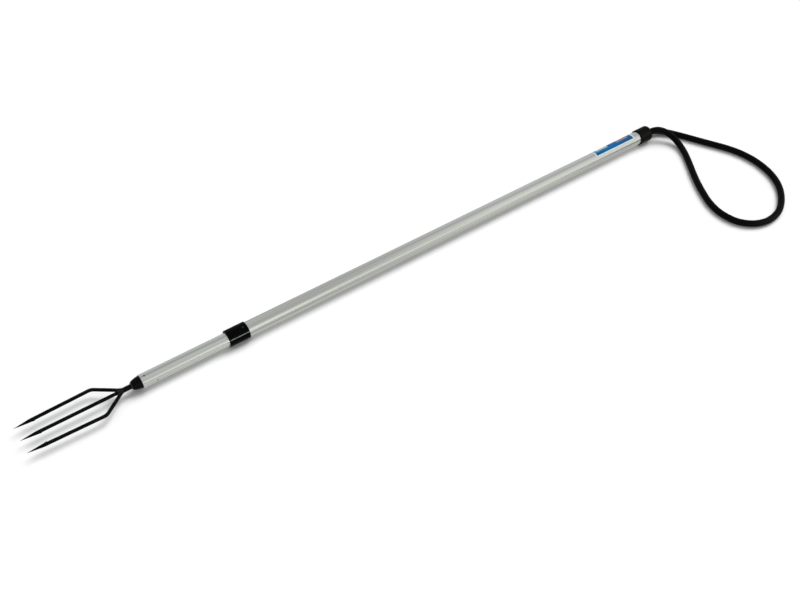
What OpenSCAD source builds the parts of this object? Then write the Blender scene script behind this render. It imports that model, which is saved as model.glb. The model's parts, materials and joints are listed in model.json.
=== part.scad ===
// Two-section telescopic three-prong hand spear with a rubber sling loop.
// Frame: origin on the pole axis at the front face of the locking collar,
// +X along the pole towards the prong tips, +Z up, the fan of prongs in the XY plane.

/* [Tubes] */
// Outside diameter of the rear (outer) tube
outer_d = 25; // [24.8:0.1:25.6]
// Wall thickness of both tubes
wall = 1.2; // [1.0:0.05:1.2]
// Outside diameter of the front (inner) tube
inner_d = 22; // [21.6:0.1:22]
// Length of each tube (both are cut alike)
tube_len = 910.8; // [860:0.1:960]
// Length of inner tube that shows in front of the collar
shown = 145.5; // [120:0.5:160]

/* [Collar] */
// Length of the collar
collar_len = 35.3; // [30:0.1:45]
// Outside diameter of the collar
collar_d = 28.4; // [27.5:0.1:29]
// Length of the collar's lip in front of the outer tube
collar_lip = 2.5; // [2:0.1:4]
// Diameter of the counterbore for the collar rivet's head
rivet_d = 4.4; // [3.5:0.1:5]

/* [Nose and head] */
// Length of the nose cone in front of the inner tube
cone_len = 14.9; // [12:0.1:18]
// Diameter of the cone where it meets the tube
cone_back_d = 20.8; // [20.2:0.1:21.4]
// Diameter of the cone's front face
cone_front_d = 13.6; // [12:0.1:15]
// Diameter of the screwed shank in front of the cone
shank_d = 8; // [7:0.1:8.6]
// Major diameter of the shank's thread
thread_d = 6; // [5:0.5:6]
// Pitch of the shank's thread
thread_pitch = 1; // [0.8:0.05:1.25]
// Diameter of the prong rod
prong_d = 5.5; // [4.6:0.1:6]
// Distance between neighbouring prongs at the bends
prong_gap = 29.1; // [25:0.1:33]
// Angle at which the outer prongs close in towards their tips
toe_in = 1.5; // [0:0.1:2.5]
// Angle of the outer prongs' sloping parts to the pole
slope = 37; // [32:0.5:40]
// Tip of the prongs in front of the collar face
tip_x = 333; // [320:0.1:345]
// Length of the ground point on each prong
point_len = 25; // [20:0.5:27]
// Distance of each barb behind its tip
barb_back = 29; // [28:0.5:36]
// Radius of the bend in the outer prongs, on the centreline
bend_r = 13; // [7:0.5:14]

/* [Rear end] */
// Length of the rear cap
cap_len = 29.8; // [24:0.1:36]
// Outside diameter of the rear cap
cap_d = 29.2; // [28:0.1:29.6]
// Rubber cord diameter in the sling loop
cord_d = 11.5; // [11:0.1:11.6]
// Sides of the cord's outline in the loop
cord_sides = 14; // [10:2:18]

/* [Hidden] */
$fn = 96;

clearance = 0.05;              // radial running clearance
outer_r = outer_d / 2;
bore_r = outer_r - wall;       // bore of the outer tube
inner_r = inner_d / 2;
inner_bore_r = inner_r - wall;
outer_front = -collar_lip;
outer_rear = outer_front - tube_len;
inner_front = shown;
inner_rear = inner_front - tube_len;
cone_front = inner_front + cone_len;
cap_rear = outer_rear - 3;
cap_front = cap_rear + cap_len;

// a cylinder along the pole, from x0 to x1
module bar(x0, x1, r) translate([x0, 0, 0]) rotate([0, 90, 0]) cylinder(h = x1 - x0, r = r);

// turns a profile of [x, radius] points about the pole axis
module turned(profile) rotate([0, 90, 0]) rotate_extrude() polygon([for (p = profile) [p[1], p[0]]]);

// stands its children's Z axis square to the pole at x, at an angle from +Y towards +Z
module radial(x, angle) translate([x, 0, 0]) rotate([angle, 0, 0]) rotate([-90, 0, 0]) children();

// a radial cylinder between two distances from the pole axis
module spoke(x, angle, r, start, end)
    radial(x, angle) translate([0, 0, start]) cylinder(h = end - start, r = r, $fn = 48);

// a radial cylinder that reaches equally far on both sides of the pole axis
module cross_bar(x, angle, r, reach) spoke(x, angle, r, -reach, reach);

// ---- rear section ----
collar_r = collar_d / 2;
rivet_x = -28;
rivet_angle = 77;
rivet_shank_r = 1.6;
rivet_seat = collar_r - 0.7;     // floor of the rivet's counterbore, from the axis

cord_angle = 40;                 // plane of the two cord strands, from +Y
tail_r = (bore_r - 0.1) / 2;     // cord squeezed in the tube, radius
tail_y = tail_r * cos(cord_angle);
tail_z = tail_r * sin(cord_angle);
tail_front = cap_rear + 44;
anchor_x = cap_rear + 20;        // pin through the cord tails
anchor_r = 2;
swing_x = cap_rear - 11.7;       // axis on which the loop swings
swing_r = 11;                    // radius of the tails' rounded rear end
label_rear = -872;
label_len = 97.5;

module outer_tube() color([0.78, 0.79, 0.77]) difference() {
    turned([[outer_rear, bore_r], [outer_front, bore_r],
            [outer_front, outer_r - 0.2], [outer_front - 0.2, outer_r],
            [outer_rear + 0.2, outer_r], [outer_rear, outer_r - 0.2]]);
    spoke(rivet_x, rivet_angle, rivet_shank_r, bore_r - 1, outer_r + 1);
    cross_bar(anchor_x, cord_angle, anchor_r, outer_r + 1);
}

module collar() color([0.05, 0.05, 0.055]) difference() {
    lip_r = inner_r + clearance;
    turned([[-collar_len, outer_r], [outer_front, outer_r], [outer_front, lip_r], [-0.3, lip_r],
            [0, lip_r + 0.3], [0, collar_r - 1.1], [-0.3, collar_r - 0.45], [-1, collar_r],
            [-collar_len + 0.4, collar_r], [-collar_len, collar_r - 0.4]]);
    spoke(rivet_x, rivet_angle, rivet_shank_r, outer_r - 1, collar_r + 1);
    spoke(rivet_x, rivet_angle, rivet_d / 2, rivet_seat, collar_r + 1);
}

// its head lies in a counterbore, its shank holds collar and tube together
module collar_rivet() color([0.12, 0.12, 0.125]) radial(rivet_x, rivet_angle) {
    head_r = rivet_d / 2 - 0.15;
    rotate_extrude($fn = 48)
        polygon([[0, bore_r + 0.1], [rivet_shank_r, bore_r + 0.1], [rivet_shank_r, rivet_seat],
                 [head_r, rivet_seat], [head_r, collar_r - 0.35],
                 [head_r - 0.45, collar_r - 0.05], [0, collar_r]]);
}

// the two parallel cord strands that run into the tube
module strands(x0, x1, r)
    for (side = [-1, 1]) translate([0, side * tail_y, side * tail_z]) bar(x0, x1, r);

module rear_cap() color([0.09, 0.09, 0.095]) difference() {
    cap_r = cap_d / 2;
    turned([[cap_rear, 0], [cap_rear, cap_r - 4.2], [cap_rear + 0.35, cap_r - 2.6],
            [cap_rear + 1.3, cap_r - 1.25], [cap_rear + 2.7, cap_r - 0.35],
            [cap_rear + 4.2, cap_r], [cap_front - 0.6, cap_r], [cap_front - 0.3, cap_r - 0.1],
            [cap_front, cap_r - 0.4], [cap_front, outer_r], [outer_rear, outer_r], [outer_rear, 0]]);
    strands(cap_rear - 1, outer_rear + 1, tail_r);
}

module anchor_pin() color([0.7, 0.7, 0.72])
    cross_bar(anchor_x, cord_angle, anchor_r, outer_r - 0.25);

// the two squeezed ends of the sling cord, rounded about the swing axis at the rear
module cord_tails() color([0.03, 0.03, 0.03]) difference() {
    intersection() {
        strands(swing_x - swing_r - 1, tail_front, tail_r - 0.01);
        union() {
            translate([swing_x, -15, -15]) cube([tail_front - swing_x + 1, 30, 30]);
            translate([swing_x, 0, -15]) cylinder(h = 30, r = swing_r);
        }
    }
    cross_bar(anchor_x, cord_angle, anchor_r, outer_r);
}

// thin wrap, a third of the way round the rear of the outer tube
module label() color([0.2, 0.5, 0.8])
    rotate([0, 90, 0]) rotate([0, 0, 141]) rotate_extrude(angle = 120)
        translate([outer_r, label_rear]) square([0.1, label_len]);

// ---- sliding section ----
nose_pin_r = 1.25;
nose_pin_places = [[inner_front - 6.6, 81], [inner_front - 22.7, -5]];   // [x, angle]
spigot_back = inner_front - 30;    // rear end of the cone's spigot in the tube
insert_r = 4;
thread_len = 19;
thread_hole_r = thread_d / 2 + clearance;

groove_rear = inner_rear - 7.5;    // groove of the glide ring
groove_front = inner_rear - 3.3;
groove_r = 9;
lock_pin_x = inner_rear + 10;
lock_pin_r = 1.5;
plug_rear = inner_rear - 11;       // rear face of the plug's flange
ecc_rear = inner_rear - 36;        // rear end of the plug's eccentric spigot
ecc_r = 6;
ecc_offset = [0, 0, -1.5];
cam_gap = 0.6;                     // free space at each end of the cam
washer_rear = ecc_rear - 1.2;
screw_rear = washer_rear - 3;
screw_r = 2;

module glide_ring() color([0.92, 0.92, 0.9]) difference() {
    bar(groove_rear + 0.1, groove_front - 0.1, bore_r - clearance);
    bar(groove_rear - 0.5, groove_front + 0.3, groove_r + clearance);
}

// two cross pins, or their holes
module nose_cross_bars(reach)
    for (place = nose_pin_places) cross_bar(place[0], place[1], nose_pin_r, reach);

module inner_tube() color([0.83, 0.84, 0.81]) difference() {
    turned([[inner_rear, inner_bore_r], [inner_front - 0.2, inner_bore_r],
            [inner_front, inner_bore_r + 0.2], [inner_front, inner_r - 0.25],
            [inner_front - 0.25, inner_r], [inner_rear, inner_r]]);
    nose_cross_bars(inner_r + 1);
    cross_bar(lock_pin_x, 0, lock_pin_r, inner_r + 1);
}

// radius of the straight taper at a share of the way from the cone's back to its front
function taper_r(share) = (cone_back_d * (1 - share) + cone_front_d * share) / 2;

module nose_cone() color([0.07, 0.07, 0.075]) difference() {
    back_r = cone_back_d / 2;
    front_r = cone_front_d / 2;
    turned([[spigot_back, 0], [spigot_back, inner_bore_r - 0.4],
            [spigot_back + 0.4, inner_bore_r], [inner_front, inner_bore_r],
            [inner_front, back_r - 0.3], [inner_front + 0.3, back_r],
            [inner_front + 1.2, back_r - 0.15],
            [inner_front + cone_len * 0.4, taper_r(0.36) + 0.3],
            [inner_front + cone_len * 0.7, taper_r(0.66) + 0.35],
            [cone_front - 1.3, front_r + 0.3], [cone_front - 0.6, front_r - 0.15],
            [cone_front - 0.15, front_r - 0.7], [cone_front, front_r - 1.4], [cone_front, 0]]);
    bar(cone_front - thread_len - 1, cone_front + 1, insert_r);
    nose_cross_bars(inner_r);
}

// bush in the cone for the shank's thread
module nose_insert() color([0.72, 0.72, 0.7]) difference() {
    bar(cone_front - thread_len - 1, cone_front, insert_r);
    bar(cone_front - thread_len - 0.5, cone_front + 1, thread_hole_r);
}

module nose_pins() color([0.35, 0.35, 0.34]) nose_cross_bars(inner_r - 0.15);

// plug in the rear end of the inner tube: flange, groove for the glide ring, eccentric spigot
module lock_plug() color([0.15, 0.15, 0.16]) difference() {
    flange_r = inner_r - 0.2;
    plug_front = inner_rear + 22;
    union() {
        turned([[plug_rear, 0], [plug_rear, flange_r], [groove_rear, flange_r],
                [groove_rear, groove_r], [groove_front, groove_r], [groove_front, flange_r],
                [inner_rear, flange_r], [inner_rear, inner_bore_r],
                [plug_front, inner_bore_r], [plug_front, 0]]);
        translate(ecc_offset) bar(ecc_rear, plug_rear, ecc_r);
    }
    translate(ecc_offset) bar(ecc_rear - 1, inner_rear - 16, screw_r);
    cross_bar(lock_pin_x, 0, lock_pin_r, inner_r);
}

module lock_pin() color([0.6, 0.6, 0.6]) cross_bar(lock_pin_x, 0, lock_pin_r, inner_r);

// eccentric ring: as it turns on the spigot it moves out and jams in the outer tube
module lock_cam() color([0.85, 0.85, 0.8]) difference() {
    bar(ecc_rear + cam_gap, plug_rear - cam_gap, bore_r - 0.4);
    translate(ecc_offset) bar(ecc_rear - 1, plug_rear, ecc_r + clearance);
}

module lock_washer() color([0.7, 0.7, 0.72]) translate(ecc_offset) difference() {
    bar(washer_rear, ecc_rear, 8);
    bar(ecc_rear - 2, ecc_rear + 1, screw_r + 0.1);
}

// screw with a cross slot in its head
module lock_screw() color([0.6, 0.6, 0.62]) translate(ecc_offset) difference() {
    union() {
        bar(screw_rear, washer_rear, 3.8);
        bar(washer_rear, inner_rear - 17, screw_r);
    }
    translate([screw_rear - 0.8, -0.5, -5]) cube([2, 1, 10]);
    translate([screw_rear - 0.8, -5, -0.5]) cube([2, 10, 1]);
}

// ---- head ----
shoulder_x = cone_front + 1;     // shank's shoulder, on the front face of the washer
shank_r = shank_d / 2;
weld_x = 176.5;                  // where the shank's short front taper starts
shank_front = weld_x + 1.5;
prong_r = prong_d / 2;

module head_washer() color([0.6, 0.6, 0.6]) difference() {
    turned([[cone_front, 0], [cone_front, 5.2], [shoulder_x - 0.2, 5.2],
            [shoulder_x, 5], [shoulder_x, 0]]);
    bar(cone_front - 1, shoulder_x + 1, thread_hole_r);
}

// shank with its thread drawn as ring grooves
module shank() color([0.06, 0.06, 0.06]) {
    start = shoulder_x - thread_len;
    crest_r = thread_d / 2;
    root_r = crest_r - 0.5 * thread_pitch;
    ridges = floor((thread_len - 2) / thread_pitch);
    turned(concat([[start, 0], [start, root_r]],
        [for (i = [0:ridges - 1]) let (x = start + 0.4 + i * thread_pitch)
            each [[x + 0.1 * thread_pitch, root_r], [x + 0.45 * thread_pitch, crest_r],
                  [x + 0.55 * thread_pitch, crest_r], [x + 0.9 * thread_pitch, root_r]]],
        [[shoulder_x - 1, root_r], [shoulder_x - 1, crest_r - 0.3], [shoulder_x, crest_r - 0.3],
         [shoulder_x, shank_r - 0.3], [shoulder_x + 0.3, shank_r], [weld_x, shank_r],
         [shank_front, shank_r - 1.2], [shank_front, 0]]));
}

// straight rod with a ground point at x = tip; side = 1 or -1 puts the barb on its +Y or -Y side
module rod(start, tip, side) {
    barb_w = 1.8;
    turned([[start, 0], [start, prong_r], [tip - point_len, prong_r],
            [tip - point_len * 0.55, prong_r * 0.58], [tip - 0.5, 0.18], [tip, 0]]);
    translate([tip - barb_back, 0, -barb_w / 2]) linear_extrude(height = barb_w)
        polygon([[-2.4, side * (prong_r + 1.1)], [-1.9, side * (prong_r - 1)],
                 [3.8, side * (prong_r - 1)], [3.6, side * (prong_r - 0.05)],
                 [-1.4, side * (prong_r + 1.05)]]);
}

module centre_prong() color([0.04, 0.04, 0.04]) rod(shank_front, tip_x, 1);

bend_angle = slope + toe_in;
cross_x = 174;                                 // where the sloping centrelines would cross the axis
corner_x = cross_x + prong_gap / tan(slope);   // where an outer prong's two centrelines cross
bend_setback = bend_r * tan(bend_angle / 2);   // from the corner to each end of the bend
slope_len = (prong_gap - 3) / sin(slope) - 1;  // reach of the sloping part from the corner

// outer prong on the +Y side, barb inwards, cut off along the centre rod.
// The bend is 0.04 mm fuller than the rod, and the straight parts reach 0.4 mm into it.
module bent_prong() difference() {
    lap = 0.4;
    cut_rear = weld_x - 20;
    translate([corner_x, prong_gap, 0]) rotate([0, 0, -toe_in]) {
        rod(bend_setback - lap, (tip_x - corner_x) / cos(toe_in), -1);
        translate([bend_setback, -bend_r, 0]) rotate([0, 0, 90]) {
            rotate_extrude(angle = bend_angle)
                translate([bend_r, 0]) circle(r = prong_r + 0.04, $fn = 48);
            rotate([0, 0, bend_angle]) translate([bend_r, -lap, 0]) rotate([-90, 0, 0])
                cylinder(h = slope_len - bend_setback + lap, r = prong_r);
        }
    }
    bar(cut_rear, tip_x, prong_r + 0.02);
    bar(cut_rear, shank_front + 0.1, shank_r + 0.02);
    translate([cut_rear, -20, -5]) cube([60, 20, 10]);
}

module left_prong() color([0.04, 0.04, 0.04]) bent_prong();
module right_prong() color([0.04, 0.04, 0.04]) mirror([0, 1, 0]) bent_prong();

// lumps of the weld: [x from weld_x, y, z, radius]
weld_lumps = [
    [-0.4, 0, 0, shank_r + 0.9],
    [3, -3.4, 0.3, 3.5], [6.2, -4.3, -0.2, 2.9],
    [3, 3.4, 0.3, 3.5], [6.2, 4.3, -0.2, 2.9],
    [3, 0, 0.8, 4]];

// lumpy weld round the joint of the four rods
module weld_bead() color([0.12, 0.115, 0.11]) {
    bar(weld_x - 1.5, weld_x + 4, shank_r + 0.5);
    for (lump = weld_lumps)
        translate([weld_x + lump[0], lump[1], lump[2]]) sphere(r = lump[3], $fn = 40);
}

// ---- sling loop ----
low_z = (cord_d - cap_d) / 2;          // cord's height when it lies level with the cap's underside
loop_swing_r = swing_r + 0.6;          // radius of the loop's hollow ends, clear of the tails
start_back = cap_rear - swing_x + loop_swing_r;

// guide points of the loop: [distance behind the cap, y, z]; the outermost two only steer it
guide = [
    [start_back - 6, tail_y, tail_z], [start_back, tail_y, tail_z],
    [28.5, 13, 3], [32.5, 24, 0], [34, 38, -5], [31, 55, low_z + 0.4],
    [20, 82, low_z], [0, 113, low_z], [-20, 143, low_z], [-38, 175, low_z], [-51, 210, low_z],
    [-55, 243, low_z], [-47, 272, low_z], [-25, 292, low_z], [3, 299, low_z], [32, 295, low_z],
    [60, 280, low_z], [84, 256, low_z], [102, 226, low_z], [110, 190, low_z], [110, 155, low_z],
    [100, 120, low_z], [84, 92, low_z], [66, 58, low_z], [53, 32, low_z],
    [42, 13, low_z + 0.2], [32, 0.5, -6.5],
    [start_back, -tail_y, -tail_z], [start_back - 6, -tail_y, -tail_z]];

// Catmull-Rom curve from p[i] to p[i + 1], t from 0 to 1
function spline(p, i, t) =
    0.5 * (2 * p[i] + (p[i + 1] - p[i - 1]) * t
        + (2 * p[i - 1] - 5 * p[i] + 4 * p[i + 1] - p[i + 2]) * t * t
        + (3 * p[i] - p[i - 1] - 3 * p[i + 1] + p[i + 2]) * t * t * t);
function unit(v) = v / norm(v);
function placed(p) = [cap_rear - p[0], p[1], p[2]];

steps = 4;                             // stations for each guide point
last_guide = len(guide) - 2;
path = [for (i = [1:last_guide - 1], k = [0:steps - 1]) placed(spline(guide, i, k / steps)),
        placed(guide[last_guide])];
last = len(path) - 1;

// x of the loop's hollow end faces at a given y
function on_swing(y) = swing_x - sqrt(pow(loop_swing_r, 2) - y * y);

// ring of the cord's outline at station j; the first and last are squeezed onto the end faces
function ring(j) =
    let (is_end = j == 0 || j == last,
         along = j == 0 ? [-1, 0, 0] : j == last ? [1, 0, 0] : unit(path[j + 1] - path[j - 1]),
         across = unit(cross([0, 0, 1], along)),
         up = cross(along, across),
         r = is_end ? tail_r : cord_d / 2)
    [for (k = [0:cord_sides - 1])
        let (turn = 360 * k / cord_sides,
             p = path[j] + r * (cos(turn) * across + sin(turn) * up))
        is_end ? [on_swing(p[1]), p[1], p[2]] : p];

// skin over the rings, with a fan of triangles about a middle point at each end
module cord_loop() color([0.03, 0.03, 0.03]) {
    m = cord_sides;
    hub = len(path) * m;
    points = concat([for (j = [0:last]) each ring(j)],
        [[on_swing(tail_y), tail_y, tail_z], [on_swing(tail_y), -tail_y, -tail_z]]);
    polyhedron(points = points, faces = concat(
        [for (j = [0:last - 1], k = [0:m - 1]) let (next = (k + 1) % m) each
            [[j * m + k, j * m + next, (j + 1) * m + k],
             [j * m + next, (j + 1) * m + next, (j + 1) * m + k]]],
        [for (k = [0:m - 1]) [k, hub, (k + 1) % m]],
        [for (k = [0:m - 1]) [last * m + k, last * m + (k + 1) % m, hub + 1]]));
}

outer_tube();
collar();
collar_rivet();
rear_cap();
anchor_pin();
cord_tails();
label();
glide_ring();
inner_tube();
nose_cone();
nose_insert();
nose_pins();
lock_plug();
lock_pin();
lock_washer();
lock_screw();
lock_cam();
head_washer();
shank();
centre_prong();
left_prong();
right_prong();
weld_bead();
cord_loop();
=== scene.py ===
import json
import math
from functools import cached_property

import bmesh
import bpy
import numpy as np
from mathutils import Matrix, Vector


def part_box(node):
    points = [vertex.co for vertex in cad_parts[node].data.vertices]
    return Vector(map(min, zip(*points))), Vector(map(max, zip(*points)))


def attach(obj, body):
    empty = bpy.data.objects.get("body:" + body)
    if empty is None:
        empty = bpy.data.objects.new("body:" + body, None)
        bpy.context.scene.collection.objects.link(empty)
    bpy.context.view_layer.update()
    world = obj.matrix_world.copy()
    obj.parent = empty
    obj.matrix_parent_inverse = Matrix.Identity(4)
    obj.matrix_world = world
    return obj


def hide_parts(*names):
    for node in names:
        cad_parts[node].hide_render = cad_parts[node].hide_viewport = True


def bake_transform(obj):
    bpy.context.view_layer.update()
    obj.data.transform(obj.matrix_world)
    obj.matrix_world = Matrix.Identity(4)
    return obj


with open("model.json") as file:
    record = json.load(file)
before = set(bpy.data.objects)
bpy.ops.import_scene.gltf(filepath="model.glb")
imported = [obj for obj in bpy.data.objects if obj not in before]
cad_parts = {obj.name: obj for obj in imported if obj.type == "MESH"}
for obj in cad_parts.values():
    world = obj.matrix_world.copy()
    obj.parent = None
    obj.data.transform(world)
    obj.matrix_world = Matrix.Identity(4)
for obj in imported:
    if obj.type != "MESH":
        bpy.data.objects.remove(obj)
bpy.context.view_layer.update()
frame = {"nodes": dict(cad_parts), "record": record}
NODE = frame["nodes"]
scene = bpy.context.scene

# ------------------------------------------------------------------------------------------
# Places read from the frame
# ------------------------------------------------------------------------------------------
cap_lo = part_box("rear_cap")[0]
label_lo, label_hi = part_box("label")
TIP_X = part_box("centre_prong")[1].x
CAP_X = cap_lo.x                      # rear face of the cap
FLOOR_Z = cap_lo.z - 0.00002


def add_object(name, data):
    obj = bpy.data.objects.new(name, data)
    scene.collection.objects.link(obj)
    return obj


# ------------------------------------------------------------------------------------------
# Node helpers
# ------------------------------------------------------------------------------------------
class Nodes:
    """Thin helpers over a node tree. Any value may be a number, a colour or a socket."""

    def __init__(self, tree, coord_output):
        self.tree = tree
        self.coord_output = coord_output
        tree.nodes.clear()

    def node(self, kind, **props):
        node = self.tree.nodes.new(kind)
        for key, value in props.items():
            setattr(node, key, value)
        return node

    def link(self, source, target):
        self.tree.links.new(source, target)

    def put(self, socket, value):
        if isinstance(value, bpy.types.NodeSocket):
            self.link(value, socket)
        elif isinstance(value, tuple):
            socket.default_value = (*value, 1.0)      # a colour gains its alpha
        else:
            socket.default_value = value

    @cached_property
    def coords(self):
        return self.node("ShaderNodeTexCoord").outputs[self.coord_output]

    @cached_property
    def xyz(self):
        return self.separate(self.coords)

    def separate(self, vector):
        node = self.node("ShaderNodeSeparateXYZ")
        self.link(vector, node.inputs[0])
        return node.outputs

    def calc(self, operation, first, second, clamp=False):
        node = self.node("ShaderNodeMath", operation=operation, use_clamp=clamp)
        self.put(node.inputs[0], first)
        self.put(node.inputs[1], second)
        return node.outputs[0]

    def add(self, first, second):
        return self.calc("ADD", first, second)

    def times(self, first, second, clamp=False):
        return self.calc("MULTIPLY", first, second, clamp)

    def texture(self, kind, scale, offset, vec):
        """A texture node; scale is (x, y, z) cycles a metre, or one number for all three."""
        tex = self.node(kind)
        tex.inputs["Scale"].default_value = 1.0
        mapping = self.node("ShaderNodeMapping")
        self.link(vec or self.coords, mapping.inputs["Vector"])
        mapping.inputs["Scale"].default_value = scale if isinstance(scale, tuple) else (scale,) * 3
        mapping.inputs["Location"].default_value = offset
        self.link(mapping.outputs[0], tex.inputs["Vector"])
        return tex

    def noise(self, scale, detail=3.0, rough=0.5, offset=(0, 0, 0), vec=None, distortion=0.0):
        tex = self.texture("ShaderNodeTexNoise", scale, offset, vec)
        tex.inputs["Detail"].default_value = detail
        tex.inputs["Roughness"].default_value = rough
        tex.inputs["Distortion"].default_value = distortion
        return tex.outputs["Fac"]

    def remap(self, value, span, to=(0.0, 1.0), smooth=False):
        """Map span onto to, clamped."""
        kind = "SMOOTHSTEP" if smooth else "LINEAR"
        node = self.node("ShaderNodeMapRange", interpolation_type=kind, clamp=True)
        self.put(node.inputs["Value"], value)
        for key, number in zip(("From Min", "From Max", "To Min", "To Max"), (*span, *to)):
            node.inputs[key].default_value = number
        return node.outputs[0]

    def patches(self, scale, span, to=(0.0, 1.0), **noise):
        """Noise cut to patches: nothing below span, full above it."""
        return self.remap(self.noise(scale, **noise), span, to)

    def between(self, value, low, high):
        above = self.calc("GREATER_THAN", value, low)
        return self.times(above, self.calc("LESS_THAN", value, high))

    def ramp(self, fac, stops):
        node = self.node("ShaderNodeValToRGB")
        elements = node.color_ramp.elements
        while len(elements) < len(stops):
            elements.new(0.5)
        for element, (position, color) in zip(elements, stops):
            element.position = position
            element.color = (*color, 1.0)
        self.link(fac, node.inputs[0])
        return node.outputs[0]

    def mix(self, fac, base, over):
        node = self.node("ShaderNodeMix", data_type="RGBA", blend_type="MIX")
        self.put(node.inputs["Factor"], fac)
        self.put(node.inputs[6], base)
        self.put(node.inputs[7], over)
        return node.outputs[2]

    def bump(self, height, strength, depth):
        node = self.node("ShaderNodeBump")
        node.inputs["Strength"].default_value = strength
        node.inputs["Distance"].default_value = depth
        self.link(height, node.inputs["Height"])
        return node.outputs[0]

    def angle(self):
        """Angle about the X axis in degrees, 0 at +Y, 90 at +Z, from -180 to 180."""
        return self.times(self.calc("ARCTAN2", self.xyz[2], self.xyz[1]), 180 / math.pi)

    def edges(self, span):
        return self.remap(self.node("ShaderNodeNewGeometry").outputs["Pointiness"], span)

    def emitter(self, kind, color, strength=1.0):
        node = self.node(kind)
        self.put(node.inputs[0], color)
        node.inputs[1].default_value = strength
        return node.outputs[0]

    def by_ray(self, ray, otherwise, seen):
        """Shader 'seen' for the named kind of ray, 'otherwise' for the rest."""
        node = self.node("ShaderNodeMixShader")
        self.link(self.node("ShaderNodeLightPath").outputs[ray], node.inputs[0])
        self.link(otherwise, node.inputs[1])
        self.link(seen, node.inputs[2])
        return node.outputs[0]


class Material(Nodes):
    INPUTS = {"color": "Base Color", "rough": "Roughness", "metal": "Metallic",
              "spec": "Specular IOR Level", "aniso": "Anisotropic", "tangent": "Tangent",
              "coat_rough": "Coat Roughness", "normal": "Normal",
              "glow": "Emission Color", "glow_strength": "Emission Strength"}

    def __init__(self, name):
        self.data = bpy.data.materials.new(name)
        self.data.use_nodes = True
        super().__init__(self.data.node_tree, "Object")
        self.out = self.node("ShaderNodeOutputMaterial")
        self.principled = self.node("ShaderNodeBsdfPrincipled")
        self.link(self.principled.outputs[0], self.out.inputs["Surface"])

    def surface(self, **values):
        for key, value in values.items():
            self.put(self.principled.inputs[self.INPUTS[key]], value)
        return self.data


def toned(tone, factor, lift=0.0):
    return tuple(min(1.0, factor * channel + lift) for channel in tone)


# ------------------------------------------------------------------------------------------
# Materials
# ------------------------------------------------------------------------------------------
def drawn_aluminium(name, tone, seed, rough):
    """Clear-anodised drawn tube: lengthwise draw lines, faint cloudy anodising, a few scuffs."""
    mat = Material(name)
    fine = mat.noise((1.3, 1500, 1500), detail=4.0, rough=0.6, offset=(seed, 0, 0))
    mid = mat.noise((1.4, 235, 235), detail=1.0, offset=(seed + 3, 1, 2))
    broad = mat.noise((0.30, 150, 150), detail=1.0, offset=(seed + 7, 5, 1))
    cloud = mat.noise((9, 40, 40), detail=4.0, rough=0.6, offset=(seed + 11, 0, 0))
    lines = mat.add(mat.times(fine, 0.15), mat.times(mid, 0.85))
    shade = mat.ramp(lines, [(0.34, toned(tone, 0.74)), (0.5, tone), (0.66, toned(tone, 1.22))])
    broad_dark = mat.remap(broad, span=(0.35, 0.7), to=(0.0, 0.35), smooth=True)
    shade = mat.mix(broad_dark, shade, toned(tone, 0.86))
    shade = mat.mix(mat.remap(cloud, span=(0.45, 0.75), to=(0.0, 0.14)), shade, (0.62, 0.64, 0.60))
    scuff = mat.patches((70, 900, 900), span=(0.66, 0.74), detail=5.0, rough=0.72,
                        offset=(seed, 4, 4))
    zone = mat.patches((6, 60, 60), span=(0.55, 0.70), detail=2.0, offset=(seed, 9, 4))
    scuffs = mat.times(scuff, zone)
    shade = mat.mix(mat.times(scuffs, 0.5), shade, (0.50, 0.51, 0.49))
    gloss = mat.remap(lines, span=(0.3, 0.7), to=(rough - 0.05, rough + 0.07))
    height = mat.add(mat.times(fine, 0.2), mat.times(mid, 1.0))
    height = mat.calc("SUBTRACT", height, mat.times(scuffs, 0.4))
    tangent = mat.node("ShaderNodeTangent", direction_type="RADIAL", axis="X").outputs[0]
    return mat.surface(color=shade, metal=1.0, rough=mat.add(gloss, mat.times(scuffs, 0.15)),
                       aniso=0.15, tangent=tangent,
                       normal=mat.bump(height, strength=0.16, depth=0.00003))


def moulded(name, tone, rough, grain_scale, grain, spec, wear, seed):
    """Moulded plastic: spark-eroded grain, flow clouds, paler rubbed spots and edges."""
    mat = Material(name)
    texture = mat.noise(grain_scale, rough=0.6, offset=(seed, 0, 0))
    cloud = mat.noise(120, rough=0.55, offset=(seed + 2, 0, 0))
    rub = mat.patches((300, 700, 700), span=(0.58, 0.74), detail=5.0, rough=0.7,
                      offset=(seed + 5, 0, 0))
    worn = mat.calc("MAXIMUM", mat.times(rub, 0.6), mat.edges(span=(0.52, 0.60)))
    shade = mat.mix(mat.remap(cloud, span=(0.35, 0.7)), toned(tone, 0.7), tone)
    shade = mat.mix(mat.times(worn, wear), shade, toned(tone, 2.2, lift=0.004))
    gloss = mat.remap(cloud, span=(0.3, 0.7), to=(rough - 0.05, rough + 0.06))
    return mat.surface(color=shade, rough=mat.add(gloss, mat.times(rub, 0.08)), spec=spec,
                       normal=mat.bump(texture, strength=grain, depth=0.00005), coat_rough=0.08)


def gloss_black(name):
    """Polished black nylon: faint flow waviness, hairline scratches, a little dust."""
    mat = Material(name)
    wave = mat.noise((60, 140, 140), detail=2.0)
    hair = mat.patches((900, 60, 900), span=(0.60, 0.66), detail=4.0, rough=0.75, distortion=0.4)
    dust = mat.patches(2600, span=(0.70, 0.78), detail=2.0, offset=(3, 1, 7))
    shade = mat.mix(mat.times(dust, 0.25), (0.0012, 0.0012, 0.0013), (0.03, 0.03, 0.03))
    gloss = mat.add(mat.add(0.13, mat.times(hair, 0.10)), mat.times(dust, 0.25))
    return mat.surface(color=shade, rough=gloss, spec=0.035,
                       normal=mat.bump(wave, strength=0.10, depth=0.00004))


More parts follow.
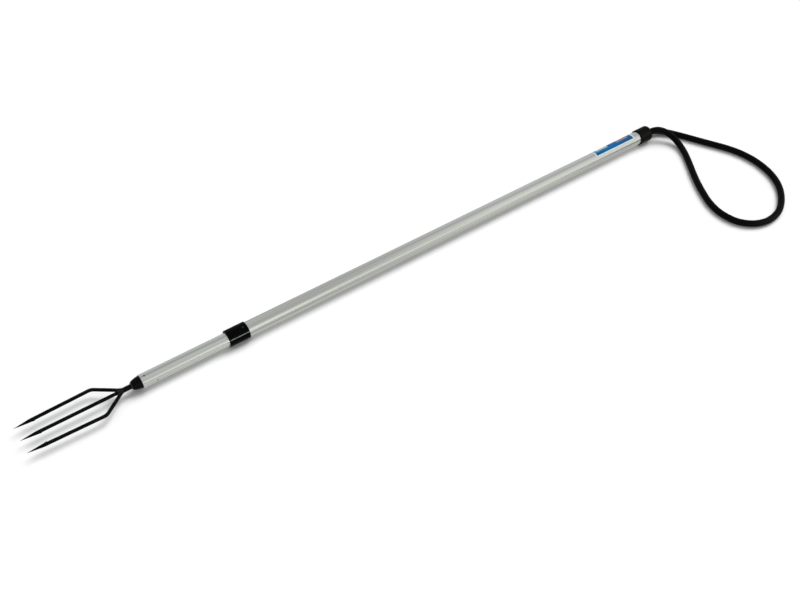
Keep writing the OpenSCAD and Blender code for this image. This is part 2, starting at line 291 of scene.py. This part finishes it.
def black_enamel(name, tone, rough, bare_tips, relief, relief_depth):
    """Black enamel brushed on steel: orange peel, sags and, with bare_tips, steel at the points."""
    mat = Material(name)
    peel = mat.noise(900, rough=0.55)
    sag = mat.noise((90, 260, 260), detail=2.0)
    speck = mat.patches(2400, span=(0.66, 0.74), rough=0.6, offset=(4, 4, 0))
    worn = mat.calc("MAXIMUM", speck, mat.edges(span=(0.62, 0.80)))
    shade = mat.mix(mat.remap(sag, span=(0.35, 0.7)), tone, toned(tone, 1.8, lift=0.001))
    shade = mat.mix(mat.times(worn, 0.18), shade, (0.03, 0.029, 0.027))
    metal = 0.0
    if bare_tips:
        tip = mat.remap(mat.xyz[0], span=(TIP_X - 0.0075, TIP_X - 0.0012))
        chips = mat.patches((500, 1300, 1300), span=(0.42, 0.58), detail=4.0, rough=0.7,
                            offset=(1, 1, 1))
        bare = mat.times(tip, mat.add(0.35, mat.times(chips, 0.5)), clamp=True)
        shade = mat.mix(bare, shade, (0.30, 0.29, 0.28))
        metal = mat.times(bare, 0.9)
    gloss = mat.remap(sag, span=(0.3, 0.7), to=(rough - 0.06, rough + 0.06))
    height = mat.add(mat.times(peel, 0.5), sag)
    return mat.surface(color=shade, rough=mat.add(gloss, mat.times(speck, 0.12)), metal=metal,
                       spec=0.05, normal=mat.bump(height, strength=relief, depth=relief_depth))


def plated_steel(name, tone, rough, seed):
    """Zinc-plated steel: turned rings, spangle and dull handling marks."""
    mat = Material(name)
    rings = mat.noise((4000, 50, 50), detail=2.0, offset=(seed, 0, 0))
    spangle = mat.texture("ShaderNodeTexVoronoi", 1400, (seed, 2, 0), None).outputs["Distance"]
    dull = mat.noise(260, detail=4.0, rough=0.6, offset=(seed + 5, 0, 0))
    shade = mat.mix(mat.remap(spangle, span=(0.1, 0.9), to=(0.0, 0.35)), tone, toned(tone, 0.75))
    shade = mat.mix(mat.remap(dull, span=(0.45, 0.75), to=(0.0, 0.5)), shade, toned(tone, 0.55))
    gloss = mat.remap(dull, span=(0.3, 0.7), to=(rough - 0.08, rough + 0.12))
    return mat.surface(color=shade, metal=0.9, rough=gloss,
                       normal=mat.bump(rings, strength=0.2, depth=0.00003))


def natural_nylon(name):
    """Milky nylon with fine machining rings and grease-dulled patches."""
    mat = Material(name)
    rings = mat.noise((2500, 30, 30), detail=2.0)
    grease = mat.noise(90, detail=4.0, rough=0.6, offset=(3, 0, 0))
    shade = mat.mix(mat.remap(grease, span=(0.4, 0.75)), (0.70, 0.69, 0.62), (0.50, 0.48, 0.41))
    return mat.surface(color=shade, rough=mat.remap(grease, span=(0.3, 0.7), to=(0.5, 0.3)),
                       spec=0.4, normal=mat.bump(rings, strength=0.2, depth=0.00004))


def rubber(name):
    """Satin extruded rubber. The mesh attributes 'along' and 'ring', in metres, make die lines
    and talc follow the cord."""
    mat = Material(name)
    along = mat.node("ShaderNodeAttribute", attribute_name="along").outputs["Fac"]
    ring = mat.node("ShaderNodeAttribute", attribute_name="ring").outputs["Vector"]
    combine = mat.node("ShaderNodeCombineXYZ")
    ring_xyz = mat.separate(ring)
    for i, source in enumerate((along, ring_xyz[1], ring_xyz[2])):
        mat.link(source, combine.inputs[i])
    vec = combine.outputs[0]
    die = mat.noise((4, 1300, 1300), rough=0.6, vec=vec)
    soft = mat.noise((35, 160, 160), rough=0.55, vec=vec, offset=(3, 3, 3))
    pores = mat.noise(2600, detail=2.0, vec=vec)
    talc = mat.patches((60, 420, 420), span=(0.56, 0.76), detail=5.0, rough=0.72, vec=vec,
                       offset=(8, 1, 2))
    shade = mat.mix(mat.remap(soft, span=(0.35, 0.7)), (0.0012,) * 3, (0.0030,) * 3)
    shade = mat.mix(mat.times(talc, 0.22), shade, (0.020, 0.020, 0.019))
    gloss = mat.remap(soft, span=(0.3, 0.7), to=(0.46, 0.58))
    height = mat.add(mat.times(die, 0.8), mat.times(pores, 0.35))
    return mat.surface(color=shade, rough=mat.add(gloss, mat.times(talc, 0.12)), spec=0.045,
                       normal=mat.bump(height, strength=0.35, depth=0.00004))


def label_print(name):
    """Printed vinyl wrap: colour panels in a white border. A panel's run is a share of the
    label's length from its front end; its arc is degrees round the pole."""
    mat = Material(name)
    from_front = mat.calc("SUBTRACT", label_hi.x, mat.xyz[0])
    run_at = mat.calc("DIVIDE", from_front, label_hi.x - label_lo.x)
    arc_at = mat.angle()
    arc_at = mat.add(arc_at, mat.times(mat.calc("LESS_THAN", arc_at, 0.0), 360.0))

    def panel(run, arc):
        return mat.times(mat.between(run_at, *run), mat.between(arc_at, *arc))

    def faded(run, fade):
        """A panel that fades in over an arc."""
        return mat.times(mat.remap(arc_at, fade, smooth=True), mat.between(run_at, *run))

    ink = mat.noise((700, 2200, 2200), rough=0.6)
    blues = mat.ramp(run_at, [
        (0.02, (0.0025, 0.084, 0.205)), (0.18, (0.003, 0.098, 0.245)),
        (0.36, (0.003, 0.108, 0.275)), (0.42, (0.002, 0.118, 0.345)),
        (0.56, (0.002, 0.108, 0.310)), (0.72, (0.003, 0.088, 0.235)),
        (0.97, (0.004, 0.080, 0.205))])
    red = mat.mix(mat.remap(ink, span=(0.3, 0.7)), (0.37, 0.195, 0.165), (0.31, 0.150, 0.125))
    haze = faded(run=(0.022, 0.380), fade=(82.0, 92.0))
    pale = faded(run=(0.085, 0.380), fade=(97.0, 107.0))
    rule = panel(run=(0.585, 0.895), arc=(92.5, 100.5))
    scuff = mat.patches((220, 900, 900), span=(0.62, 0.72), to=(0.0, 0.18), detail=5.0,
                        rough=0.72, offset=(2, 6, 1))
    shade = (0.68, 0.78, 0.84)        # the white border
    for cover, color in (             # laid one over another, in this order
            (panel(run=(0.022, 0.976), arc=(60.0, 166.0)), blues),
            (mat.times(haze, 0.85), (0.055, 0.225, 0.40)),
            (mat.times(pale, 0.9), (0.46, 0.56, 0.54)),
            (panel(run=(0.380, 0.43), arc=(96.0, 140.0)), (0.003, 0.055, 0.17)),
            (panel(run=(0.600, 0.895), arc=(100.5, 150.0)), red),
            (mat.times(rule, 0.8), (0.14, 0.22, 0.36)),
            (mat.remap(ink, span=(0.35, 0.7), to=(0.0, 0.06)), (0.02, 0.05, 0.10)),
            (scuff, (0.45, 0.52, 0.57))):
        shade = mat.mix(cover, shade, color)
    gloss = mat.remap(ink, span=(0.3, 0.7), to=(0.26, 0.36))
    return mat.surface(color=shade, rough=mat.add(gloss, mat.times(scuff, 0.2)), spec=0.09,
                       normal=mat.bump(ink, strength=0.12, depth=0.00003))


LOOKS = {
    "outer_aluminium": (drawn_aluminium, dict(tone=(0.74, 0.75, 0.73), seed=0.0, rough=0.28)),
    "inner_aluminium": (drawn_aluminium, dict(tone=(0.74, 0.755, 0.735), seed=21.0, rough=0.28)),
    "collar_black": (gloss_black, {}),
    "cap_black": (moulded, dict(tone=(0.0019, 0.0019, 0.0014), rough=0.42, grain_scale=1900,
                                grain=0.5, spec=0.05, wear=0.22, seed=0.0)),
    "cone_black": (moulded, dict(tone=(0.0018,) * 3, rough=0.36, grain_scale=2600,
                                 grain=0.25, spec=0.06, wear=0.3, seed=4.0)),
    "prong_black": (black_enamel, dict(tone=(0.0012,) * 3, rough=0.38, bare_tips=True,
                                       relief=0.25, relief_depth=0.00006)),
    "weld_black": (black_enamel, dict(tone=(0.011, 0.0107, 0.0102), rough=0.50, bare_tips=False,
                                      relief=0.75, relief_depth=0.0002)),
    "steel": (plated_steel, dict(tone=(0.62, 0.62, 0.60), rough=0.28, seed=0.0)),
    "washer_grey": (plated_steel, dict(tone=(0.08, 0.08, 0.07), rough=0.50, seed=3.0)),
    "rivet_black": (moulded, dict(tone=(0.0075,) * 3, rough=0.30, grain_scale=2600,
                                  grain=0.2, spec=0.10, wear=0.8, seed=6.0)),
    "pin_dark": (plated_steel, dict(tone=(0.045, 0.040, 0.034), rough=0.55, seed=5.0)),
    "rubber_black": (rubber, {}),
    "lock_nylon": (natural_nylon, {}),
    "lock_black": (moulded, dict(tone=(0.02, 0.02, 0.021), rough=0.45, grain_scale=2200,
                                 grain=0.3, spec=0.35, wear=0.25, seed=9.0)),
    "label_print": (label_print, {}),
}
MATERIALS = {name: build(name, **look) for name, (build, look) in LOOKS.items()}
OWN_LOOK = {"nose_pins": "pin_dark", "collar_rivet": "rivet_black"}   # not their slot's material

for subpart in frame["record"]["subparts"]:
    slots = NODE[subpart["node"]].data.materials
    slots.clear()
    slots.append(MATERIALS[OWN_LOOK.get(subpart["node"], subpart["material_slot"])])


# ------------------------------------------------------------------------------------------
# Sling cord: one continuous rubber cord, from its two ends in the tube round the loop
# ------------------------------------------------------------------------------------------
CORD_RADIUS = 0.0059
TAIL_RADIUS = 0.00555                 # where the cord is squeezed inside the cap
RING_RADIUS = 0.0057                  # scale of the 'ring' attribute
CORD_SIDES = 32
CORD_STEP = 0.0013
CORD_REST_Z = FLOOR_Z + CORD_RADIUS + 0.00004
TAIL_TILT = math.radians(40)          # of the line through both tails, above +Y
TAIL_Y = 0.0056 * math.cos(TAIL_TILT) * 1e3     # millimetres, as in the table
TAIL_Z = 0.0056 * math.sin(TAIL_TILT) * 1e3
TAIL_BACK = (-46, -43, -30, -16, -3)
# Millimetres: behind the cap's rear face, towards +Y, above the axis (None: on the ground)
LOOP = [
    (2, 4.1, 6.8), (8, 4.6, 9.6), (14, 6.8, 9.4), (18, 9.4, 8.2), (24.5, 16.0, 5.6),
    (30, 25.2, 2.4), (33, 35.8, -2.0), (32.6, 48, -6.0), (28.6, 64, None), (19, 83, None),
    (0, 113, None), (-19, 143, None), (-36.5, 175, None), (-50.6, 208, None),
    (-55.4, 239, None), (-48, 270, None), (-26.5, 291.5, None), (3, 299.4, None),
    (31, 295.3, None), (57.5, 279, None), (82.5, 256, None), (100.8, 226, None),
    (109.8, 190, None), (109.6, 155, None), (99.6, 120, None), (84, 92, None),
    (66.2, 58, None), (52.6, 33, None), (42, 14.5, None), (34, 4.5, -8.0),
    (25.5, -1.5, -6.6), (16, -4.1, -4.9), (6, -4.4, -3.9)]
GUIDE = ([(back, TAIL_Y, TAIL_Z) for back in TAIL_BACK] + LOOP
         + [(back, -TAIL_Y, -TAIL_Z) for back in reversed(TAIL_BACK)])
# End domes: height as a share of full height, radius as a share of the cord's
DOME = [(0.99, 0.20), (0.90, 0.55), (0.65, 0.83), (0.25, 0.985)]
DOME_HEIGHT = 0.35                    # in radii


def distances(points):
    return np.r_[0, np.cumsum(np.linalg.norm(np.diff(points, axis=0), axis=1))]


def resample(points, count=None):
    """Evenly spaced points along a line, CORD_STEP apart when no count is given."""
    run = distances(points)
    even = np.linspace(0, run[-1], count or int(round(run[-1] / CORD_STEP)))
    return np.stack([np.interp(even, run, points[:, k]) for k in range(3)], 1)


def cord_path():
    guide = np.array([
        (CAP_X - back / 1e3, side / 1e3,
         CORD_REST_Z if up is None else max(up / 1e3, CORD_REST_Z))
        for back, side, up in GUIDE])
    curve = []
    for before, start, end, after in zip(guide, guide[1:], guide[2:], guide[3:]):
        for t in np.linspace(0, 1, 60, endpoint=False):         # Catmull-Rom
            curve.append(0.5 * (2 * start + (end - before) * t
                                + (2 * before - 5 * start + 4 * end - after) * t * t
                                + (3 * start - before - 3 * end + after) * t ** 3))
    path = resample(np.array(curve))
    # Relaxed so that the curvature changes smoothly, as in a stiff cord; the ends stay in the cap
    hold = np.clip((path[:, 0] - (CAP_X - 0.002)) / 0.004, 0, 1)[:, None]
    for _ in range(160):
        pull = np.zeros_like(path)
        pull[1:-1] = (path[:-2] + path[2:]) / 2 - path[1:-1]
        path = path + 0.8 * pull * (1 - hold)
        path[:, 2] = np.maximum(path[:, 2], CORD_REST_Z)
    return resample(path, len(path))


def cord_radii(path):
    free = np.clip((CAP_X + 0.0005 - path[:, 0]) / 0.006, 0, 1)
    free[len(path) // 8: -len(path) // 8] = 1.0     # the loop is free even beside the pole
    free = free * free * (3 - 2 * free)
    return TAIL_RADIUS + (CORD_RADIUS - TAIL_RADIUS) * free


def sweep(name, path, radius, material):
    """A round cord along path, with one radius for each point and domed ends."""
    count = len(path)
    tangent = np.gradient(path, axis=0)
    tangent /= np.linalg.norm(tangent, axis=1)[:, None]
    normal = np.zeros_like(path)
    up = np.array([0, 0, 1.0])
    normal[0] = up - tangent[0] * (up @ tangent[0])
    normal[0] /= np.linalg.norm(normal[0])
    for i in range(1, count):                  # parallel transport, so the cord doesn't twist
        carried = normal[i - 1] - tangent[i] * (normal[i - 1] @ tangent[i])
        normal[i] = carried / np.linalg.norm(carried)
    binormal = np.cross(tangent, normal)

    stations = [(path[0] - tangent[0] * radius[0] * DOME_HEIGHT * height, share * radius[0], 0)
                for height, share in DOME]
    stations += [(path[i], radius[i], i) for i in range(count)]
    stations += [(path[-1] + tangent[-1] * radius[-1] * DOME_HEIGHT * height,
                  share * radius[-1], count - 1) for height, share in reversed(DOME)]

    bm = bmesh.new()
    along = bm.verts.layers.float.new("along")
    ring = bm.verts.layers.float_vector.new("ring")
    run = distances(path)
    rows = []
    for centre, size, i in stations:
        row = []
        for k in range(CORD_SIDES):
            turn = 2 * math.pi * k / CORD_SIDES
            cos, sin = math.cos(turn), math.sin(turn)
            vert = bm.verts.new(Vector(centre + size * (cos * normal[i] + sin * binormal[i])))
            vert[along] = run[i]
            vert[ring] = (0.0, cos * RING_RADIUS, sin * RING_RADIUS)
            row.append(vert)
        rows.append(row)
    for row, after in zip(rows, rows[1:]):
        for k in range(CORD_SIDES):
            j = (k + 1) % CORD_SIDES
            bm.faces.new((row[k], row[j], after[j], after[k]))
    bm.faces.new(list(reversed(rows[0])))
    bm.faces.new(rows[-1])
    bmesh.ops.recalc_face_normals(bm, faces=bm.faces)
    for face in bm.faces:
        face.smooth = True
    mesh = bpy.data.meshes.new(name)
    bm.to_mesh(mesh)
    bm.free()
    obj = add_object(name, mesh)
    mesh.materials.append(material)
    return obj


path = cord_path()
cord = sweep("sling_cord", path, cord_radii(path), MATERIALS["rubber_black"])
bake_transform(cord)
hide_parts("cord_tails", "cord_loop")


# ------------------------------------------------------------------------------------------
# Weld bead: overlapping puddles of weld metal, fused and left lumpy
# ------------------------------------------------------------------------------------------
SHANK_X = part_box("weld_bead")[0].x + 0.0053     # front end of the shank
ROD_MEET_X = SHANK_X - 0.0025                   # where the sloping rods' centrelines meet
ROD_SLOPE = math.radians(37)


def weld_blobs(bm):
    rng = np.random.default_rng(7)

    def blob(x, y, z, radius, stretch=(1.0, 1.0, 1.0)):
        matrix = Matrix.Translation((x, y, z)) @ Matrix.Diagonal((*stretch, 1.0))
        bmesh.ops.create_icosphere(bm, subdivisions=4, radius=radius, matrix=matrix)

    for k in range(11):                           # ripples round the end of the shank
        turn = 2 * math.pi * k / 11 + 0.3
        blob(SHANK_X - 0.0006 + 0.0005 * math.sin(3 * turn),
             0.0031 * math.cos(turn), 0.0031 * math.sin(turn),
             0.00165 + 0.0002 * math.cos(5 * turn))
    blob(SHANK_X + 0.0010, 0, 0, 0.0037)
    for side in (-1, 1):
        for k in range(5):                        # runs over the sloping rods, above and below
            x = SHANK_X + 0.0004 + 0.0016 * k
            y = (x - ROD_MEET_X) * math.tan(ROD_SLOPE)
            jitter = rng.uniform(-0.00025, 0.00025, 3)
            for up, radius in ((1, 0.00255), (-1, 0.00250)):
                blob(x + up * jitter[0], side * (y * 0.86) + up * jitter[1],
                     up * (0.0011 + jitter[2]), radius - 0.00016 * k, stretch=(1.05, 1.0, 0.95))
        for k in range(3):                        # fill in the crotch beside the middle rod
            for z, radius in ((0.0004, 0.0022), (-0.0006, 0.0021)):
                blob(SHANK_X + 0.0030 + 0.0013 * k, side * (0.0024 + 0.0005 * k), z,
                     radius - 0.0003 * k)
    for k in range(4):                            # over and under the middle rod
        for z, radius in ((0.0010, 0.0027), (-0.0012, 0.0026)):
            blob(SHANK_X + 0.0012 + 0.0013 * k, rng.uniform(-0.0003, 0.0003), z,
                 radius - 0.0002 * k)


def weld():
    bm = bmesh.new()
    weld_blobs(bm)
    mesh = bpy.data.meshes.new("weld_puddle")
    bm.to_mesh(mesh)
    bm.free()
    obj = add_object("weld_puddle", mesh)

    fuse = obj.modifiers.new("fuse", "REMESH")
    fuse.mode = "VOXEL"
    fuse.voxel_size = 0.00022
    fuse.use_smooth_shade = True
    soften = obj.modifiers.new("soften", "SMOOTH")
    soften.factor = 0.5
    soften.iterations = 5
    clouds = bpy.data.textures.new("weld_lumps", "CLOUDS")
    clouds.noise_scale = 0.0011
    clouds.noise_depth = 2
    lumps = obj.modifiers.new("lumps", "DISPLACE")
    lumps.texture = clouds
    lumps.strength = 0.0007
    lumps.mid_level = 0.55
    lumps.texture_coords = "LOCAL"

    bpy.context.view_layer.update()
    depsgraph = bpy.context.evaluated_depsgraph_get()
    fused = bpy.data.meshes.new_from_object(obj.evaluated_get(depsgraph))
    obj.modifiers.clear()
    obj.data = fused
    for polygon in fused.polygons:
        polygon.use_smooth = True
    fused.materials.clear()
    fused.materials.append(MATERIALS["weld_black"])
    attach(obj, "head")
    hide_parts("weld_bead")
    return obj


puddle = weld()


# ------------------------------------------------------------------------------------------
# Floor
# ------------------------------------------------------------------------------------------
def floor_paper():
    """White paper with a faint painted glow that lightens it and its shadows; in reflections a flat
    grey glow stands in for it, a painted reflection.
    """
    mat = Material("floor_paper")
    # The faint white glow is painted light: it lifts the floor's shadows.
    mat.surface(color=(0.86, 0.86, 0.865), rough=0.9, spec=0.0, glow=(1.0, 1.0, 1.0),
                glow_strength=0.06)
    # Painted reflection: a flat grey glow that the metal mirrors in place of the lit floor and its
    # shadows.
    mirrored = mat.emitter("ShaderNodeEmission", color=(0.60, 0.605, 0.585))
    shader = mat.by_ray("Is Glossy Ray", mat.principled.outputs[0], seen=mirrored)
    mat.link(shader, mat.out.inputs["Surface"])
    return mat.data


floor_mesh = bpy.data.meshes.new("floor")
bm = bmesh.new()
bmesh.ops.create_grid(bm, x_segments=1, y_segments=1, size=7.0)
bm.to_mesh(floor_mesh)
bm.free()
floor = add_object("floor", floor_mesh)
floor.location = (-0.35, 0.0, FLOOR_Z)
floor_mesh.materials.append(floor_paper())

# ------------------------------------------------------------------------------------------
# Lights
# ------------------------------------------------------------------------------------------
LIGHT_TARGET = Vector((-0.35, 0.05, 0.0))


def aim(obj, heading):
    obj.rotation_euler = heading.to_track_quat("-Z", "Y").to_euler()


def softbox(name, direction, distance, size, power, only):
    """A rectangle seen only in the reflections of the listed objects."""
    light = bpy.data.lights.new(name, "AREA")
    light.shape = "RECTANGLE"
    light.size, light.size_y = size
    light.energy = power
    obj = add_object(name, light)
    location = LIGHT_TARGET + Vector(direction).normalized() * distance
    obj.location = location
    aim(obj, LIGHT_TARGET - location)
    obj.visible_camera = False
    obj.visible_diffuse = False
    group = bpy.data.collections.new(name + "_on")
    for receiver in only:
        group.objects.link(receiver)
    obj.light_linking.receiver_collection = group


def far_light(name, direction, angle, power):
    """A wide, distant light: it lights the ground evenly and isn't mirrored by the metal."""
    light = bpy.data.lights.new(name, "SUN")
    light.angle = math.radians(angle)
    light.energy = power
    obj = add_object(name, light)
    aim(obj, -Vector(direction))
    obj.visible_glossy = False


dark_parts = [NODE[name] for name in ("collar_rivet", "rear_cap", "nose_cone", "shank",
                                      "centre_prong", "left_prong", "right_prong")]
dark_parts += [cord, puddle]
LOW_SIDE = (-0.25, 0.955, 0.17)
far_light("overhead", direction=(0.0, 0.1, 1.0), angle=80, power=0.62)
far_light("key", direction=(-0.80, -0.22, 1.0), angle=40, power=2.88)
softbox("line", LOW_SIDE, distance=2.4, size=(4.2, 0.30), power=420, only=[NODE["collar"]])
softbox("sheen", LOW_SIDE, distance=2.4, size=(4.2, 0.34), power=16, only=dark_parts)
softbox("rear_soft", (-0.70, 0.53, 0.48), distance=2.2, size=(1.5, 1.5), power=10,
        only=dark_parts)


# ------------------------------------------------------------------------------------------
# World: what the metal mirrors, a soft fill, and plain white for the camera
# ------------------------------------------------------------------------------------------
def studio_world():
    world = bpy.data.worlds.new("studio")
    world.use_nodes = True
    scene.world = world
    sky = Nodes(world.node_tree, "Generated")
    out = sky.node("ShaderNodeOutputWorld")
    along = sky.xyz[0]
    angle = sky.angle()

    def hump(value, rise, fall):
        return sky.times(sky.remap(value, rise, smooth=True),
                         sky.remap(value, fall, to=(1.0, 0.0), smooth=True))

    rear = sky.remap(along, span=(-0.54, -0.42), to=(1.0, 0.0), smooth=True)
    ahead = sky.remap(along, span=(-0.38, -0.28), smooth=True)     # all but the rear
    lip = sky.times(hump(angle, rise=(-10.0, -1.0), fall=(7.0, 15.0)),
                    hump(along, rise=(-0.40, -0.29), fall=(-0.22, -0.06)))
    wide = hump(angle, rise=(-14.0, -4.0), fall=(44.0, 54.0))
    ahead_band = sky.times(hump(angle, rise=(-18.0, -8.0), fall=(26.0, 42.0)), ahead)
    rear_band = sky.times(hump(angle, rise=(-34.0, -18.0), fall=(54.0, 68.0)), rear)
    rear_top = sky.times(sky.remap(angle, span=(88.0, 108.0), smooth=True), rear)
    grey = 0.585                      # the even grey room, to which the bands add
    for band, strength in ((lip, 0.62), (wide, 0.08), (ahead_band, 0.38), (rear_band, 0.36),
                           (rear_top, 0.04)):
        grey = sky.add(grey, sky.times(band, strength))
    blue = sky.remap(angle, span=(38.0, 56.0), to=(0.925, 0.985), smooth=True)   # warmer low down
    tint = sky.node("ShaderNodeCombineColor")
    for i, channel in enumerate((0.985, 1.0, blue)):
        sky.link(sky.times(grey, channel), tint.inputs[i])

    mirrored = sky.emitter("ShaderNodeBackground", color=tint.outputs[0])
    fill = sky.emitter("ShaderNodeBackground", color=(0.97, 0.98, 1.0), strength=0.22)
    white = sky.emitter("ShaderNodeBackground", color=(1.0, 1.0, 1.0))
    lit = sky.by_ray("Is Glossy Ray", fill, seen=mirrored)
    sky.link(sky.by_ray("Is Camera Ray", lit, seen=white), out.inputs["Surface"])


studio_world()

# ------------------------------------------------------------------------------------------
# Camera
# ------------------------------------------------------------------------------------------
camera_data = bpy.data.cameras.new("camera")
camera_data.lens = 45.0
camera_data.sensor_width = 36.0
camera_data.sensor_fit = "HORIZONTAL"
camera_data.clip_start, camera_data.clip_end = 0.05, 50
camera_data.shift_x, camera_data.shift_y = -0.0003, 0.00063
camera = add_object("camera", camera_data)
camera.matrix_world = Matrix((
    (-0.81374701, -0.41862714, 0.40319614, 0.382),
    (0.58121924, -0.58610686, 0.56450239, 0.99889),
    (0.0, 0.69370748, 0.72025685, 1.16163),
    (0, 0, 0, 1)))
scene.camera = camera
scene.view_settings.view_transform = "Standard"
scene.view_settings.look = "None"
